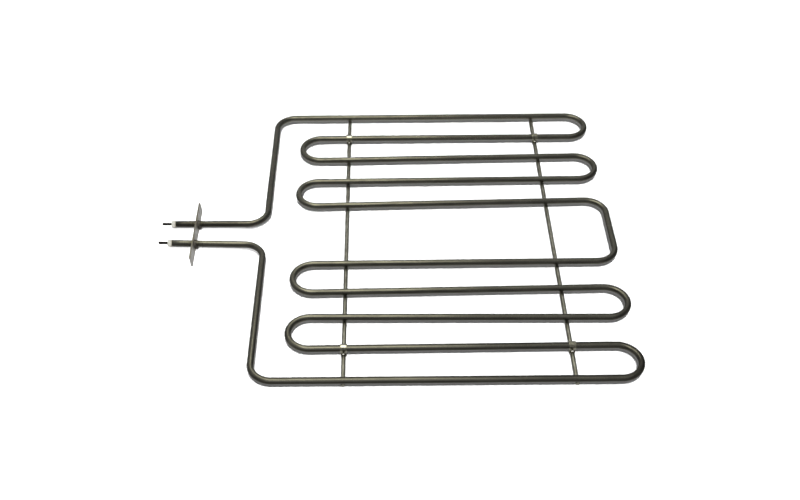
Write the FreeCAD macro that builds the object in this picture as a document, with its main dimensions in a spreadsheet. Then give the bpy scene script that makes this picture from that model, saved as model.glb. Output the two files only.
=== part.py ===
import FreeCAD, Part
import math
import os
import Sketcher

# Oven heating element: one sheathed tube bent into ten runs, held flat by two cross rods
# with four strap clips, and fixed at its two legs by an upright mounting plate.
#
# Frame: the origin lies on the outer face of the mounting plate, midway between the two
# legs and at the height of the tube's centreline. X points from the terminals into the
# oven, Z points up and Y points to the left of someone who looks along X.
# All lengths are in millimetres and all angles in degrees.

doc = FreeCAD.newDocument("oven_heating_element")
sheet = doc.addObject("Spreadsheet::Sheet", "Sizes")

SIZES = (
    # the heating tube
    ("tube_diameter", 6.5),
    ("tube_wall", 0.6),
    ("bend_radius", 20.3),
    ("tail_length", 21.1),
    ("left_leg_angle", -0.7),
    ("right_leg_angle", -2.4),
    # the lines on which the bends' centres stand
    ("leg_bends_x", 51.1),
    ("leg_bends_y", 36.15),
    ("outer_bends_x", 91.85),
    ("rear_loops_x", 123),
    ("front_loops_x", 402),
    ("middle_bends_y", 27.35),
    ("loop_pitch", 38.7),
    # the filling, the seals and the terminals
    ("filling_clearance", 0.05),
    ("pin_diameter", 2.8),
    ("pin_shank_diameter", 3.2),
    ("pin_showing", 9.6),
    ("pin_inner_length", 46),
    ("pin_bevel", 0.4),
    ("pin_clearance", 0.05),
    ("bead_diameter", 6.9),
    ("bead_length", 4.3),
    ("bead_bevel", 0.7),
    ("spigot_length", 4),
    ("spigot_clearance", 0.1),
    ("seal_length", 3),
    ("seal_gap", 0.1),
    # the mounting plate and its brazed joints
    ("plate_length", 86),
    ("plate_height", 12),
    ("plate_thickness", 1.5),
    ("plate_lean", 5),
    ("plate_corner_radius", 0.8),
    ("plate_hole_clearance", 0.35),
    ("braze_gap", 0.05),
    ("braze_share", 0.86),
    ("braze_length", 3.8),
    ("braze_edge", 0.3),
    ("braze_roundness", 0.8),
    # the cross rods
    ("rod_diameter", 4),
    ("rod_overhang", 1.5),
    ("rod_bevel", 0.3),
    ("rod_gap", 0.05),
    ("rear_rod_x", 154),
    ("front_rod_x", 362.7),
    # the strap clips
    ("clip_width", 6.2),
    ("clip_thickness", 0.8),
    ("clip_reach", 5.2),
    ("clip_clearance", 0.05),
    ("clip_ramp_angle", 84),
)

LEFT = 1
RIGHT = -1
ANTICLOCKWISE = 1
CLOCKWISE = -1

# How far the rows of bends lie from the middle, beginning with the row next to it
ROWS = tuple("(Sizes.middle_bends_y + %d * Sizes.loop_pitch)" % number for number in range(5))
LEG_ROW = "Sizes.leg_bends_y"


class Post:
    """The post round which a bend of the tube is made. All posts have the same radius.

    A post stands where a line across the element meets a row of bends, apart from two
    small distances: the hairpins are as uneven as the tube was bent.
    """

    def __init__(self, name, line, off_x, side, row, off_y, turn):
        self.name = name
        self.offsets = ((name + "_off_x", off_x), (name + "_off_y", off_y))
        self.x = "(Sizes.%s + Sizes.%s_off_x)" % (line, name)
        self.y = "(%d * %s + Sizes.%s_off_y)" % (side, row, name)
        self.turn = turn


# The posts in the order in which the tube passes them, from the left leg to the right leg
POSTS = (
    Post("left_leg_bend", "leg_bends_x", 0.4, LEFT, LEG_ROW, -1.35, ANTICLOCKWISE),
    Post("left_outer_bend", "outer_bends_x", 0.85, LEFT, ROWS[4], -0.55, CLOCKWISE),
    Post("front_loop_1", "front_loops_x", -1.3, LEFT, ROWS[4], 0.05, CLOCKWISE),
    Post("rear_loop_1", "rear_loops_x", 0.4, LEFT, ROWS[3], -2.05, ANTICLOCKWISE),
    Post("front_loop_2", "front_loops_x", -0.5, LEFT, ROWS[2], 0.45, CLOCKWISE),
    Post("rear_loop_2", "rear_loops_x", -0.2, LEFT, ROWS[1], -3.25, ANTICLOCKWISE),
    Post("left_middle_bend", "front_loops_x", 0.4, LEFT, ROWS[0], 0.15, CLOCKWISE),
    Post("right_middle_bend", "front_loops_x", 0.4, RIGHT, ROWS[0], 0.15, CLOCKWISE),
    Post("rear_loop_3", "rear_loops_x", 0.1, RIGHT, ROWS[1], -2.35, ANTICLOCKWISE),
    Post("front_loop_3", "front_loops_x", 0.7, RIGHT, ROWS[2], -0.95, CLOCKWISE),
    Post("rear_loop_4", "rear_loops_x", -0.5, RIGHT, ROWS[3], 0.95, ANTICLOCKWISE),
    Post("front_loop_4", "front_loops_x", 0.2, RIGHT, ROWS[4], -0.25, CLOCKWISE),
    Post("right_outer_bend", "outer_bends_x", -0.85, RIGHT, ROWS[4], 1.05, CLOCKWISE),
    Post("right_leg_bend", "leg_bends_x", -0.4, RIGHT, LEG_ROW, -1.35, ANTICLOCKWISE),
)

# A half round is drawn this much flatter than a true one, because its radius has to settle
# on which side of the chord its centre lies
HALF_ROUND = "1.0001"


def fill_sheet():
    """Write the sizes and the posts' offsets into the sheet, with their names as aliases."""
    rows = list(SIZES)
    for post in POSTS:
        rows += post.offsets
    for number, (name, size) in enumerate(rows, start=1):
        sheet.set("A%d" % number, name)
        sheet.set("B%d" % number, str(size))
        sheet.setAlias("B%d" % number, name)
    doc.recompute()


def value(expression):
    """The number that an expression on the sheet's cells gives."""
    result = sheet.evalExpression(expression)
    return float(getattr(result, "Value", result))


fill_sheet()

# Radii that several pieces share
TUBE_RADIUS = "Sizes.tube_diameter / 2"
BORE_RADIUS = "(Sizes.tube_diameter / 2 - Sizes.tube_wall)"
PIN_RADIUS = "Sizes.pin_diameter / 2"
SHANK_RADIUS = "Sizes.pin_shank_diameter / 2"
PIN_BORE_RADIUS = "(Sizes.pin_shank_diameter / 2 + Sizes.pin_clearance)"
ROD_RADIUS = "Sizes.rod_diameter / 2"

# Places along a leg, measured from the outer face of the mounting plate
TUBE_END = "-Sizes.tail_length"
BEAD_END = "(-Sizes.tail_length - Sizes.bead_length)"
PIN_TIP = "(-Sizes.tail_length - Sizes.bead_length - Sizes.pin_showing)"
SPIGOT_END = "(-Sizes.tail_length + Sizes.spigot_length)"
SEAL_START = "(-Sizes.tail_length + Sizes.spigot_length + Sizes.seal_gap)"
SEAL_END = "(-Sizes.tail_length + Sizes.spigot_length + Sizes.seal_gap + Sizes.seal_length)"
FILLING_END = "(-Sizes.tail_length + Sizes.spigot_length + 2 * Sizes.seal_gap + Sizes.seal_length)"
PIN_INNER_END = "(-Sizes.tail_length + Sizes.pin_inner_length)"
COIL_END = "(-Sizes.tail_length + Sizes.pin_inner_length + Sizes.pin_clearance)"

# Height of a cross rod's axis: the rod lies under the tube
ROD_AXIS = "-(Sizes.tube_diameter / 2 + Sizes.rod_gap + Sizes.rod_diameter / 2)"


class Leg:
    """One leg of the tube: a straight that touches the post of its first bend."""

    def __init__(self, side, post, post_side):
        self.side = side
        self.post_side = post_side
        self.angle = "Sizes.%s_leg_angle" % side
        self.slope = "tan(%s * 1deg)" % self.angle
        reach = "%d * Sizes.bend_radius / cos(%s * 1deg)" % (post_side, self.angle)
        # the y of the leg's line where it crosses the outer face of the plate
        self.offset = "(%s - %s - %s * %s)" % (post.y, reach, self.slope, post.x)


LEFT_LEG = Leg("left", POSTS[0], LEFT)
RIGHT_LEG = Leg("right", POSTS[-1], RIGHT)
LEGS = (LEFT_LEG, RIGHT_LEG)


class Run:
    """One run of the tube: the straight that leaves a post and touches the next one."""

    def __init__(self, post, next_post):
        self.post = post
        along = "(%s - %s)" % (next_post.x, post.x)
        across = "(%s - %s)" % (next_post.y, post.y)
        crossing = "%d * Sizes.bend_radius / hypot(%s; %s)" % (next_post.turn - post.turn, along, across)
        self.bearing = "(atan2(%s; %s) - asin(%s))" % (across, along, crossing)

    def y_at(self, x):
        """The y of the run where its x is a given expression."""
        slope = "tan(%s)" % self.bearing
        reach = "%d * Sizes.bend_radius / cos(%s)" % (self.post.turn, self.bearing)
        return "(%s + (%s - %s) * %s - %s)" % (self.post.y, x, self.post.x, slope, reach)


# The runs that matter to the rods and clips
LEFT_END_RUN = Run(POSTS[1], POSTS[2])
LEFT_CLIP_RUN = Run(POSTS[2], POSTS[3])
RIGHT_CLIP_RUN = Run(POSTS[10], POSTS[11])
RIGHT_END_RUN = Run(POSTS[11], POSTS[12])


def posts():
    """The posts as (x, y, turn), worked out from the sheet."""
    return [(value(post.x), value(post.y), post.turn) for post in POSTS]


def straight(first, second):
    """The ends of the straight that leaves one post and meets the next.

    It touches both circles and keeps each centre on the inside of its own turn.
    """
    radius = value("Sizes.bend_radius")
    x1, y1, turn1 = first
    x2, y2, turn2 = second
    distance = math.hypot(x2 - x1, y2 - y1)
    bearing = math.atan2(y2 - y1, x2 - x1)
    bearing -= math.asin((turn2 - turn1) * radius / distance)
    left_x = -math.sin(bearing)
    left_y = math.cos(bearing)
    start = (x1 - turn1 * radius * left_x, y1 - turn1 * radius * left_y)
    end = (x2 - turn2 * radius * left_x, y2 - turn2 * radius * left_y)
    return start, end


def leg_point(leg, along):
    """The point of a leg's line at an expression for the distance from the plate."""
    x = "(%s) * cos(%s * 1deg)" % (along, leg.angle)
    y = "%s + (%s) * sin(%s * 1deg)" % (leg.offset, along, leg.angle)
    return x, y


def leg_touch(leg, post):
    """The point where a leg's line touches the post of its first bend."""
    reach = leg.post_side * value("Sizes.bend_radius")
    angle = math.radians(value(leg.angle))
    return post[0] + reach * math.sin(angle), post[1] - reach * math.cos(angle)


def body(name):
    """An empty body whose label names its file."""
    made = doc.addObject("PartDesign::Body", name)
    made.Label = name
    return made


def sketch(owner, name, plane):
    """A sketch on one of its body's origin planes."""
    made = owner.newObject("Sketcher::SketchObject", owner.Name + "_" + name)
    planes = [item for item in owner.Origin.OriginFeatures if item.Role == plane]
    made.AttachmentSupport = (planes[0], [""])
    made.MapMode = "FlatFace"
    made.Visibility = False
    return made


def bind(target, constraint, expression):
    """Add a constraint to a sketch and tie it to an expression."""
    number = target.addConstraint(constraint)
    target.setExpression("Constraints[%d]" % number, expression)


def place_point(target, shape_number, point_number, x, y):
    """Hold one point of a sketch at expressions for x and y."""
    for kind, expression in (("DistanceX", x), ("DistanceY", y)):
        constraint = Sketcher.Constraint(kind, -1, 1, shape_number, point_number, value(expression))
        bind(target, constraint, expression)


def flat(x, y):
    """A point of a sketch."""
    return FreeCAD.Vector(x, y, 0)


def outline(target, corners):
    """Draw a closed outline through corners given as expressions.

    A corner is (x, y), or (x, y, radius, side) where an arc leads on to the next
    corner: side is 1 if the arc bulges to the left of its chord and -1 to the right.
    """
    points = [(value(corner[0]), value(corner[1])) for corner in corners]
    count = len(points)
    ends = []
    for index, corner in enumerate(corners):
        start = points[index]
        finish = points[(index + 1) % count]
        if len(corner) == 2:
            target.addGeometry(Part.LineSegment(flat(*start), flat(*finish)), False)
            ends.append((1, 2))
            continue
        radius = value(corner[2])
        side = corner[3]
        chord_x = finish[0] - start[0]
        chord_y = finish[1] - start[1]
        chord = math.hypot(chord_x, chord_y)
        depth = side * math.sqrt(radius ** 2 - chord ** 2 / 4) / chord
        centre_x = (start[0] + finish[0]) / 2 + depth * chord_y
        centre_y = (start[1] + finish[1]) / 2 - depth * chord_x
        angles = [math.atan2(y - centre_y, x - centre_x) for x, y in (start, finish)]
        if side > 0:
            angles.reverse()
        ring = Part.Circle(flat(centre_x, centre_y), FreeCAD.Vector(0, 0, 1), radius)
        target.addGeometry(Part.ArcOfCircle(ring, angles[0], angles[1]), False)
        ends.append((2, 1) if side > 0 else (1, 2))
    for index, corner in enumerate(corners):
        following = (index + 1) % count
        target.addConstraint(
            Sketcher.Constraint("Coincident", index, ends[index][1], following, ends[following][0])
        )
        place_point(target, index, ends[index][0], corner[0], corner[1])
        if len(corner) > 2:
            bind(target, Sketcher.Constraint("Radius", index, value(corner[2])), corner[2])


def circle(target, radius, x="0", y="0"):
    """Draw a circle whose radius and centre are given as expressions."""
    ring = Part.Circle(flat(value(x), value(y)), FreeCAD.Vector(0, 0, 1), value(radius))
    number = target.addGeometry(ring, False)
    place_point(target, number, 3, x, y)
    bind(target, Sketcher.Constraint("Radius", number, value(radius)), radius)


def turned(name, corners):
    """A piece turned about the X axis from half its section, given as expressions."""
    owner = body(name)
    half = sketch(owner, "half", "XY_Plane")
    outline(half, corners)
    made = owner.newObject("PartDesign::Revolution", name + "_turned")
    made.Profile = half
    made.ReferenceAxis = (half, ["H_Axis"])
    made.Angle = 360
    return owner


def pad(owner, name, profile, length):
    """Raise a profile by a length, half of it to each side of the sketch."""
    made = owner.newObject("PartDesign::Pad", owner.Name + "_" + name)
    made.Profile = profile
    made.setExpression("Length", length)
    made.Midplane = True
    return made


def pocket(owner, name, profile):
    """Cut a profile right through, to both sides of the sketch."""
    made = owner.newObject("PartDesign::Pocket", owner.Name + "_" + name)
    made.Profile = profile
    made.Type = 1
    made.Midplane = True
    return made


def bind_placement(piece, base, angle):
    """Tie a piece's place, and its turn about its own axis, to expressions."""
    for axis, expression in zip("xyz", base):
        if expression is not None:
            piece.setExpression("Placement.Base." + axis, expression)
    if angle is not None:
        piece.setExpression("Placement.Rotation.Angle", angle + " * 1deg")


def put_on_leg(piece, leg):
    """Place a piece that is modelled along X on the line of a leg."""
    turn = FreeCAD.Rotation(FreeCAD.Vector(0, 0, 1), value(leg.angle))
    piece.Placement = FreeCAD.Placement(FreeCAD.Vector(0, value(leg.offset), 0), turn)
    bind_placement(piece, (None, leg.offset, None), leg.angle)
    return piece


def cut(name, base, tools):
    """One piece less others."""
    made = doc.addObject("Part::Cut", name)
    made.Label = name
    made.Base = base
    if len(tools) == 1:
        made.Tool = tools[0]
    else:
        both = doc.addObject("Part::Compound", name + "_tools")
        both.Links = tools
        made.Tool = both
    return made


def centreline(owner, along):
    """The tube's centreline: straights joined by an arc round each post.

    The arcs share one radius and touch the straights, the posts stand where the sheet
    says, and both legs end at the same distance from the plate, given as an expression.
    """
    path = sketch(owner, "path", "XY_Plane")
    centres = posts()
    left_end = [value(part) for part in leg_point(LEFT_LEG, along)]
    right_end = [value(part) for part in leg_point(RIGHT_LEG, along)]

    # both legs are drawn from their terminals inwards
    lines = [(left_end, leg_touch(LEFT_LEG, centres[0]))]
    for first, second in zip(centres[:-1], centres[1:]):
        lines.append(straight(first, second))
    lines.append((right_end, leg_touch(RIGHT_LEG, centres[-1])))
    for start, finish in lines:
        path.addGeometry(Part.LineSegment(flat(*start), flat(*finish)), False)

    last_line = len(lines) - 1
    for index, (x, y, turn) in enumerate(centres):
        next_line = index + 1
        next_end = 2 if next_line == last_line else 1
        meeting = (lines[index][1], lines[next_line][next_end - 1])
        angles = [math.atan2(point[1] - y, point[0] - x) for point in meeting]
        arc_ends = [1, 2]
        if turn < 0:
            angles.reverse()
            arc_ends.reverse()
        ring = Part.Circle(flat(x, y), FreeCAD.Vector(0, 0, 1), value("Sizes.bend_radius"))
        arc = path.addGeometry(Part.ArcOfCircle(ring, angles[0], angles[1]), False)
        path.addConstraint(Sketcher.Constraint("Tangent", index, 2, arc, arc_ends[0]))
        path.addConstraint(Sketcher.Constraint("Tangent", next_line, next_end, arc, arc_ends[1]))
        place_point(path, arc, 3, POSTS[index].x, POSTS[index].y)
        if index == 0:
            first_arc = arc
            radius = Sketcher.Constraint("Radius", arc, value("Sizes.bend_radius"))
            bind(path, radius, "Sizes.bend_radius")
        else:
            path.addConstraint(Sketcher.Constraint("Equal", first_arc, arc))

    for line, leg in ((0, LEFT_LEG), (last_line, RIGHT_LEG)):
        x = leg_point(leg, along)[0]
        bind(path, Sketcher.Constraint("DistanceX", -1, 1, line, 1, value(x)), x)
        angle = math.radians(value(leg.angle))
        bind(path, Sketcher.Constraint("Angle", line, angle), leg.angle + " * 1deg")
    return path


def swept(name, along, radii):
    """A body swept along the centreline, with a disc or a ring as its section.

    The section lies square to the left leg, where that leg ends.
    """
    owner = body(name)
    path = centreline(owner, along)
    section = sketch(owner, "section", "YZ_Plane")
    x, y = leg_point(LEFT_LEG, along)
    turn = FreeCAD.Rotation(FreeCAD.Vector(0, 1, 0), value(LEFT_LEG.angle))
    section.AttachmentOffset = FreeCAD.Placement(FreeCAD.Vector(value(y), 0, value(x)), turn)
    section.setExpression("AttachmentOffset.Base.x", y)
    section.setExpression("AttachmentOffset.Base.z", x)
    section.setExpression("AttachmentOffset.Rotation.Angle", LEFT_LEG.angle + " * 1deg")
    for radius in radii:
        circle(section, radius)
    pipe = owner.newObject("PartDesign::AdditivePipe", name + "_sweep")
    pipe.Profile = section
    pipe.Spine = (path, [])
    return owner


def make_tube():
    """The sheath: one tube from the left terminal to the right terminal."""
    return swept("heating_tube", TUBE_END, (TUBE_RADIUS, BORE_RADIUS))


def make_filling():
    """The packed powder in the sheath, with one bore for the coil and both pins."""
    rim = BORE_RADIUS + " - Sizes.filling_clearance"
    return swept("magnesia_filling", FILLING_END, (rim, PIN_BORE_RADIUS))


def make_coil():
    """The resistance coil, as a plain bar of its outer diameter between the two pins."""
    return swept("resistance_coil", COIL_END, (SHANK_RADIUS,))


def make_pin(leg):
    """A terminal pin: a thick shank in the filling, turned down outside the bead."""
    corners = (
        (PIN_TIP, "0"),
        (PIN_TIP, PIN_RADIUS + " - Sizes.pin_bevel"),
        (PIN_TIP + " + Sizes.pin_bevel", PIN_RADIUS),
        (BEAD_END, PIN_RADIUS),
        (BEAD_END, SHANK_RADIUS),
        (PIN_INNER_END, SHANK_RADIUS),
        (PIN_INNER_END, "0"),
    )
    return put_on_leg(turned("terminal_pin_" + leg.side, corners), leg)


def make_bead(leg):
    """A ceramic bead: a bevelled head against the tube's end and a spigot in its bore."""
    head = "Sizes.bead_diameter / 2"
    spigot = BORE_RADIUS + " - Sizes.spigot_clearance"
    corners = (
        (BEAD_END, PIN_BORE_RADIUS),
        (BEAD_END, head + " - Sizes.bead_bevel"),
        (BEAD_END + " + Sizes.bead_bevel", head),
        (TUBE_END, head),
        (TUBE_END, spigot),
        (SPIGOT_END, spigot),
        (SPIGOT_END, PIN_BORE_RADIUS),
    )
    return put_on_leg(turned("ceramic_bead_" + leg.side, corners), leg)


def make_seal(leg):
    """The ring of sealing compound between a bead's spigot and the filling."""
    rim = BORE_RADIUS + " - Sizes.filling_clearance"
    corners = (
        (SEAL_START, PIN_BORE_RADIUS),
        (SEAL_START, rim),
        (SEAL_END, rim),
        (SEAL_END, PIN_BORE_RADIUS),
    )
    return put_on_leg(turned("end_seal_" + leg.side, corners), leg)


def make_plate_blank():
    """The mounting plate before the legs' holes are made, leaning as it was brazed."""
    owner = body("plate_blank")
    face = sketch(owner, "face", "YZ_Plane")
    half_length = "Sizes.plate_length / 2"
    half_height = "Sizes.plate_height / 2"
    outline(
        face,
        (
            ("-" + half_length, "-" + half_height),
            (half_length, "-" + half_height),
            (half_length, half_height),
            ("-" + half_length, half_height),
        ),
    )
    raised = owner.newObject("PartDesign::Pad", "plate_sheet")
    raised.Profile = face
    raised.setExpression("Length", "Sizes.plate_thickness")
    doc.recompute()
    corner_edges = []
    for number, edge in enumerate(raised.Shape.Edges, start=1):
        box = edge.BoundBox
        if box.XLength > max(box.YLength, box.ZLength):
            corner_edges.append("Edge%d" % number)
    rounded = owner.newObject("PartDesign::Fillet", "plate_corners")
    rounded.Base = (raised, corner_edges)
    rounded.setExpression("Radius", "Sizes.plate_corner_radius")
    lean = FreeCAD.Rotation(FreeCAD.Vector(0, -1, 0), value("Sizes.plate_lean"))
    owner.Placement = FreeCAD.Placement(FreeCAD.Vector(0, 0, 0), lean)
    bind_placement(owner, (None, None, None), "Sizes.plate_lean")
    return owner


def make_plate(blank):
    """The mounting plate, with a hole round each leg that leaves room for the braze."""
    bars = []
    for leg in LEGS:
        radius = TUBE_RADIUS + " + Sizes.plate_hole_clearance"
        length = "Sizes.plate_height"
        corners = (("-" + length, "0"), ("-" + length, radius), (length, radius), (length, "0"))
        bars.append(put_on_leg(turned("leg_hole_" + leg.side, corners), leg))
    return cut("mounting_plate", blank, bars)


def make_braze(leg, plate):
    """The braze round a leg: a ring in the plate's hole and a rounded collar inside.

    The ring fills the inner half of the hole. The collar takes up a share of the face that
    the plate shows above and below the leg.
    """
    inner = "(%s + Sizes.braze_gap)" % TUBE_RADIUS
    start = "Sizes.plate_thickness / 2"
    plate_edge = "Sizes.plate_height / 2 * cos(Sizes.plate_lean * 1deg)"
    height = "((%s - %s) * Sizes.braze_share)" % (plate_edge, inner)
    foot = "%s + %s" % (inner, height)
    end = "(Sizes.plate_thickness + Sizes.braze_length)"
    edge = inner + " + Sizes.braze_edge"
    round_radius = "max(Sizes.braze_length; %s) * Sizes.braze_roundness" % height
    corners = (
        (start, inner),
        (start, foot),
        ("Sizes.plate_thickness", foot, round_radius, 1),
        (end, edge),
        (end, inner),
    )
    collar = put_on_leg(turned("braze_whole_" + leg.side, corners), leg)
    return cut("braze_collar_" + leg.side, collar, [plate])


def make_rod(name, x_cell):
    """A straight cross rod under all ten runs, from the first run to the last."""
    x = "Sizes." + x_cell
    left_run = LEFT_END_RUN.y_at(x)
    right_run = RIGHT_END_RUN.y_at(x)
    half = "((%s - %s) / 2 + Sizes.rod_overhang)" % (left_run, right_run)
    middle = (x, "(%s + %s) / 2" % (left_run, right_run), ROD_AXIS)
    corners = (
        ("-" + half, "0"),
        ("-" + half, ROD_RADIUS + " - Sizes.rod_bevel"),
        ("-%s + Sizes.rod_bevel" % half, ROD_RADIUS),
        (half + " - Sizes.rod_bevel", ROD_RADIUS),
        (half, ROD_RADIUS + " - Sizes.rod_bevel"),
        (half, "0"),
    )
    rod = turned(name, corners)
    place = FreeCAD.Vector(*[value(part) for part in middle])
    rod.Placement = FreeCAD.Placement(place, FreeCAD.Rotation(FreeCAD.Vector(0, 0, 1), 90))
    bind_placement(rod, middle, None)
    return rod


def make_clip(name, x_cell, run):
    """A strap clip: a band over the tube whose skirts come down astride the rod.

    Beyond each skirt a half sleeve lies on the rod, where the clip is spot welded.
    """
    owner = body(name)
    inner = "(Sizes.tube_diameter / 2 + Sizes.clip_clearance)"
    outer = "(Sizes.tube_diameter / 2 + Sizes.clip_clearance + Sizes.clip_thickness)"
    sine = "sin(Sizes.clip_ramp_angle * 1deg)"
    cosine = "cos(Sizes.clip_ramp_angle * 1deg)"

    def foot(radius):
        """How far out a skirt that leaves a circle of this radius reaches the rod's axis."""
        return "((%s - (%s) * %s) / %s)" % (radius, ROD_AXIS, cosine, sine)

    def leave(radius):
        """Where a skirt leaves a circle of this radius."""
        return radius + " * " + sine, radius + " * " + cosine

    outer_y, outer_z = leave(outer)
    inner_y, inner_z = leave(inner)
    section = sketch(owner, "section", "YZ_Plane")
    outline(
        section,
        (
            ("-" + foot(outer), ROD_AXIS),
            ("-" + outer_y, outer_z, outer, 1),
            (outer_y, outer_z),
            (foot(outer), ROD_AXIS),
            (foot(inner), ROD_AXIS),
            (inner_y, inner_z, inner, -1),
            ("-" + inner_y, inner_z),
            ("-" + foot(inner), ROD_AXIS),
        ),
    )
    pad(owner, "band", section, "Sizes.clip_width")

    # the half sleeves on the rod, still joined below the tube
    sleeve_inner = "(Sizes.rod_diameter / 2 + Sizes.clip_clearance)"
    sleeve_outer = "(Sizes.rod_diameter / 2 + Sizes.clip_clearance + Sizes.clip_thickness)"
    sleeve = sketch(owner, "sleeve", "XZ_Plane")
    outline(
        sleeve,
        (
            ("-" + sleeve_outer, ROD_AXIS, sleeve_outer + " * " + HALF_ROUND, 1),
            (sleeve_outer, ROD_AXIS),
            (sleeve_inner, ROD_AXIS, sleeve_inner + " * " + HALF_ROUND, -1),
            ("-" + sleeve_inner, ROD_AXIS),
        ),
    )
    pad(owner, "sleeves", sleeve, "2 * Sizes.clip_reach")

    # clear the rod's own room, and the stretch of sleeve under the tube
    bore = sketch(owner, "rod_room", "XZ_Plane")
    circle(bore, sleeve_inner, "0", ROD_AXIS)
    pocket(owner, "rod_slot", bore)
    room = sketch(owner, "tube_room", "YZ_Plane")
    top = "0"
    low = "(2 * %s)" % ROD_AXIS
    low_foot = "((%s - (%s) * %s) / %s)" % (inner, low, cosine, sine)
    top_foot = "(%s / %s)" % (inner, sine)
    outline(
        room,
        (
            ("-" + low_foot, low),
            (low_foot, low),
            (top_foot, top),
            ("-" + top_foot, top),
        ),
    )
    pocket(owner, "tube_slot", room)

    x = "Sizes." + x_cell
    y = run.y_at(x)
    owner.Placement = FreeCAD.Placement(FreeCAD.Vector(value(x), value(y), 0), FreeCAD.Rotation())
    bind_placement(owner, (x, y, None), None)
    return owner


def build():
    """Make every piece of the element, each with the name of its file as its label."""
    pieces = [make_tube(), make_filling(), make_coil()]
    for leg in LEGS:
        pieces += [make_pin(leg), make_bead(leg), make_seal(leg)]
    plate = make_plate(make_plate_blank())
    pieces.append(plate)
    for leg in LEGS:
        pieces.append(make_braze(leg, plate))
    for end in ("rear", "front"):
        x_cell = end + "_rod_x"
        pieces.append(make_rod("cross_rod_" + end, x_cell))
        pieces.append(make_clip("strap_clip_%s_left" % end, x_cell, LEFT_CLIP_RUN))
        pieces.append(make_clip("strap_clip_%s_right" % end, x_cell, RIGHT_CLIP_RUN))
    return pieces


def check(pieces):
    """Stop if any object failed to build or any piece is not one sound solid."""
    for item in doc.Objects:
        if {"Invalid", "Error"} & set(item.State):
            raise RuntimeError("%s did not build: %s" % (item.Label, item.State))
    for piece in pieces:
        shape = piece.Shape
        if shape.isNull() or not shape.isValid() or len(shape.Solids) != 1:
            raise RuntimeError("%s is not one valid solid" % piece.Label)


parts = build()
doc.recompute()
check(parts)
os.makedirs("parts", exist_ok=True)
for part in parts:
    part.Shape.exportStep(os.path.join("parts", part.Label + ".step"))
    print("%-26s %10.1f mm3" % (part.Label, part.Shape.Volume))
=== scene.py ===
import math
from types import SimpleNamespace

import bmesh
import bpy
from bpy.props import FloatProperty, FloatVectorProperty, IntProperty, PointerProperty
from mathutils import Matrix, Vector, noise


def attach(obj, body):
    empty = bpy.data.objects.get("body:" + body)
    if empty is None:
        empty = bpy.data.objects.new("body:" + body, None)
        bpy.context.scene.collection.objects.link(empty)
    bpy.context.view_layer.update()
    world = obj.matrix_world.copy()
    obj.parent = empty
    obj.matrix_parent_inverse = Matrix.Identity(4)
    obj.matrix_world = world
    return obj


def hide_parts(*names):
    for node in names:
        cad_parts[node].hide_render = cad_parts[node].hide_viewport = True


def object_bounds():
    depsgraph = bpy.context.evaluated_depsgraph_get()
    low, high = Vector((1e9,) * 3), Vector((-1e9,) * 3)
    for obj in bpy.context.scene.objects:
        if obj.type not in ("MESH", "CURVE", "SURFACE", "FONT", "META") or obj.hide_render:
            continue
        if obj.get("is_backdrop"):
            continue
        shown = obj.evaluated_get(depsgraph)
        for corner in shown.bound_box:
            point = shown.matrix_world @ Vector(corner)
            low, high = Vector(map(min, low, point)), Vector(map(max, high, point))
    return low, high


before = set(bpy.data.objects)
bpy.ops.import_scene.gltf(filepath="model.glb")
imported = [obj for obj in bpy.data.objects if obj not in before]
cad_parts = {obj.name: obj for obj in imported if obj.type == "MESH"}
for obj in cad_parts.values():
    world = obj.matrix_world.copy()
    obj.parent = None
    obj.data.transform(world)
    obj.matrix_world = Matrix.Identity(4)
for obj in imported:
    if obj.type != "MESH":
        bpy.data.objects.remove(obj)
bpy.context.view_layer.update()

bl_info = {
    "name": "Oven Heating Element",
    "version": (1, 0, 0),
    "blender": (4, 5, 0),
    "location": "View3D > Sidebar > Heating Element",
    "description": "Dresses the packed oven heating element and lights it in a plain studio",
    "category": "Object",
}

MM = 0.001

# The posts round which the tube is bent, in the order in which the tube passes them from
# the left leg: x, y and the turn, which is 1 anticlockwise and -1 clockwise. Millimetres.
POSTS = (
    (51.5, 34.8, 1),
    (92.7, 181.6, -1),
    (400.7, 182.2, -1),
    (123.4, 141.4, 1),
    (401.5, 105.2, -1),
    (122.8, 62.8, 1),
    (402.4, 27.5, -1),
    (402.4, -27.2, -1),
    (123.1, -68.4, 1),
    (402.7, -105.7, -1),
    (122.5, -142.5, 1),
    (402.2, -182.4, -1),
    (91.0, -181.1, -1),
    (50.7, -37.5, 1),
)
# Each leg's angle in degrees, its post, and the side of the post on which it lies
LEGS = {"left": (-0.7, POSTS[0], 1), "right": (-2.4, POSTS[-1], -1)}
# The runs that carry the clips and those over the rods' ends, by the post where they start
CLIP_RUNS = {"left": 2, "right": 10}
END_RUNS = {"left": 1, "right": 11}
ROD_PLACES = {"rear": 154.0, "front": 362.7}

# Gaps round pieces that go into each other, in millimetres
PIN_GAP = 0.05
SPIGOT_GAP = 0.1
BEAD_GAP = 0.02
LEG_HOLE_GAP = 0.35
BRAZE_GAP = 0.02

# The length over which a straight wanders, and the y where it no longer does, in millimetres
DRIFT_SPAN = 55.0
DRIFT_EDGE = 190.0

# The braze from the hole, out over the plate's inner face, then down to the leg: the place
# along its length, which is in millimetres where it is in the hole, and the share of its height
BRAZE_PROFILE = (
    (-0.7, 0.0), (-0.05, 0.30), (0.0, 0.90), (0.10, 0.99), (0.26, 1.0), (0.44, 0.93),
    (0.62, 0.78), (0.78, 0.55), (0.90, 0.30), (0.97, 0.12), (1.0, 0.0),
)

CAMERA_PLACE = (0.1914, -0.87704, 0.75011)
# The tent's brightness, from the horizon on the camera's side (0), through overhead (0.5),
# to the far horizon (1)
TENT_STOPS = (
    (0.0, 0.34), (0.06, 0.36), (0.16, 0.46), (0.25, 0.56), (0.34, 0.74),
    (0.43, 0.92), (0.52, 1.0), (0.67, 0.96), (0.88, 0.72), (1.0, 0.75),
)


# ---- settings ----


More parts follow.
